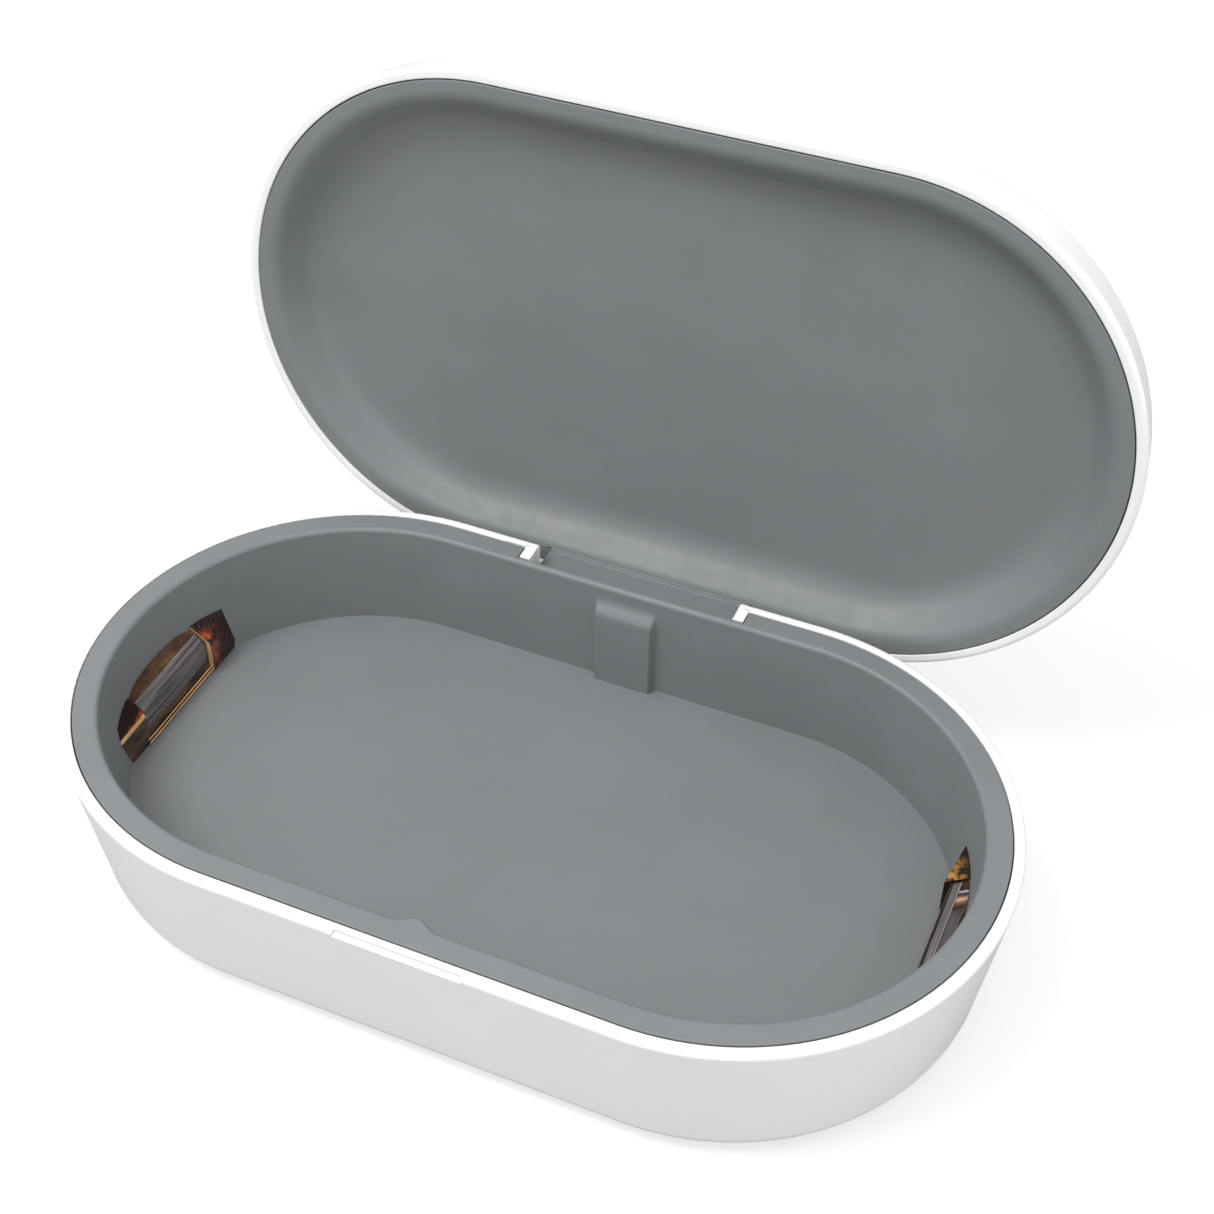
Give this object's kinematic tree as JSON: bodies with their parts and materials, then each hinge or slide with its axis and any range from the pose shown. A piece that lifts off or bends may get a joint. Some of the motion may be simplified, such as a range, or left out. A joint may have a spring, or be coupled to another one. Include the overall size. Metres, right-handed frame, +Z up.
{
  "type": "uv-c sanitizer box",
  "caption": "Obround white sanitizer box with a hinged lid, grey inner tray and an amber ultraviolet lamp housing at each end.",
  "frame": {"origin": "centre of the tub's flat underside, between the four feet, which reach 1.2 mm below it", "axes": "+X along the length, +Y from the front towards the hinge, +Z up; the lid stands open at rest"},
  "size_m": [0.2164, 0.157, 0.1495],
  "materials": {
    "white_shell": "satin-gloss moulded ABS",
    "grey_liner": "fine matt moulded ABS",
    "amber_housing": "clear amber tinted polycarbonate",
    "quartz": "polished clear quartz",
    "reflector": "bright rolled sheet",
    "rubber": "matt",
    "magnet_nickel": "nickel plated",
    "steel": "plain",
    "circuit_board": "solder mask",
    "ivory_plastic": "moulded",
    "cable_jacket": "matt",
    "black_component": "moulded"
  },
  "bodies": {
    "base": {"base_shell": "white_shell", "base_liner": "grey_liner", "hinge_pin_left": "steel", "hinge_pin_right": "steel", "closing_magnet_base": "magnet_nickel", "lamp_cover_left": "amber_housing", "lamp_cover_right": "amber_housing", "lamp_window_left": "quartz", "lamp_window_right": "quartz", "uvc_tube_left": "quartz", "uvc_tube_right": "quartz", "lamp_reflector_left": "reflector", "lamp_reflector_right": "reflector", "tube_grommet_left_front": "rubber", "tube_grommet_left_back": "rubber", "tube_grommet_right_front": "rubber", "tube_grommet_right_back": "rubber", "lamp_lead_left": "cable_jacket", "lamp_lead_right": "cable_jacket", "lamp_plug_left": "ivory_plastic", "lamp_plug_right": "ivory_plastic", "foot_left_front": "rubber", "foot_left_back": "rubber", "foot_right_front": "rubber", "foot_right_back": "rubber", "case_screw_left_front": "steel", "case_screw_left_back": "steel", "case_screw_right_front": "steel", "case_screw_right_back": "steel", "driver_board": "circuit_board", "board_screw_1": "steel", "board_screw_2": "steel", "board_screw_3": "steel", "board_screw_4": "steel", "usb_c_socket": "steel", "boost_transformer": "black_component", "controller_chip": "black_component", "reservoir_capacitor_1": "black_component", "reservoir_capacitor_2": "black_component", "sensor_plug": "ivory_plastic", "sensor_board": "circuit_board", "lid_sensor": "black_component", "sensor_lead": "cable_jacket"},
    "lid": {"lid_shell": "white_shell", "lid_liner": "grey_liner", "closing_magnet_lid": "magnet_nickel", "sensor_magnet": "magnet_nickel"}
  },
  "joints": [
    {"name": "lid_hinge", "type": "hinge", "parent": "base", "child": "lid", "pos_m": [0, 0.0587, 0.0295], "axis": [1, 0, 0], "range_deg": [0, 96.4]}
  ]
}
